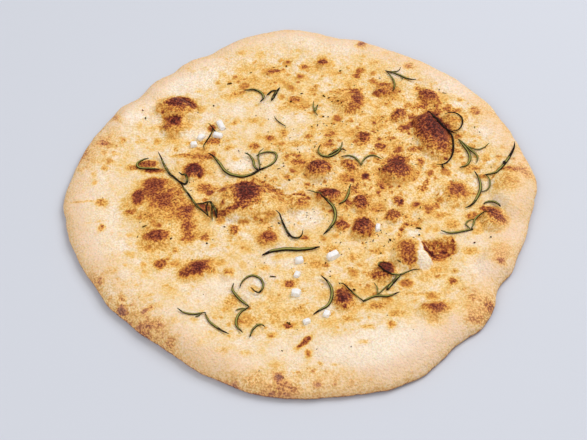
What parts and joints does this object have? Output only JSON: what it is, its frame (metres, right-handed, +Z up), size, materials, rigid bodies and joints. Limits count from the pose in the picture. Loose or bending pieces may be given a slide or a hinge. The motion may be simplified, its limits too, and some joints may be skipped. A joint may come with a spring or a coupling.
{
  "type": "focaccia",
  "caption": "Round thin flat bread baked with blisters and brown spots, topped with scattered rosemary leaves and coarse salt.",
  "frame": {"origin": "on the flat underside, below the middle of the bread's outline", "axes": "+Z up out of the top crust; -Y towards the viewer of the picture and +X to that viewer's right"},
  "size_m": [0.2844, 0.298, 0.0151],
  "materials": {
    "bread": "dry baked crust, oily in the middle, with browned blisters",
    "rosemary": "roasted leaf, slightly waxy",
    "scorched_rosemary": "scorched leaf"
  },
  "bodies": {
    "root": {"bread": "bread", "rosemary_bird": "rosemary", "rosemary_bird_near": "rosemary", "rosemary_cup": "rosemary", "rosemary_curl_left": "rosemary", "rosemary_dry_thread": "rosemary", "rosemary_edge_sprig": "rosemary", "rosemary_far_fork": "rosemary", "rosemary_flat_leaf": "rosemary", "rosemary_folded_sprig": "rosemary", "rosemary_green_fan": "rosemary", "rosemary_hook_dark": "scorched_rosemary", "rosemary_hook_right": "rosemary", "rosemary_long_bent": "rosemary", "rosemary_long_dark": "scorched_rosemary", "rosemary_long_loop": "rosemary", "rosemary_near_sprig": "rosemary", "rosemary_round_loop": "rosemary", "rosemary_s_sprig": "rosemary", "rosemary_scorched_loop": "scorched_rosemary", "rosemary_short_arc": "rosemary", "rosemary_sickle_far": "rosemary", "rosemary_sickle_near": "rosemary", "rosemary_small_arc": "rosemary", "rosemary_stub_pair": "rosemary", "rosemary_tiny_fork": "rosemary", "rosemary_twig_in_salt": "rosemary"}
  },
  "joints": []
}
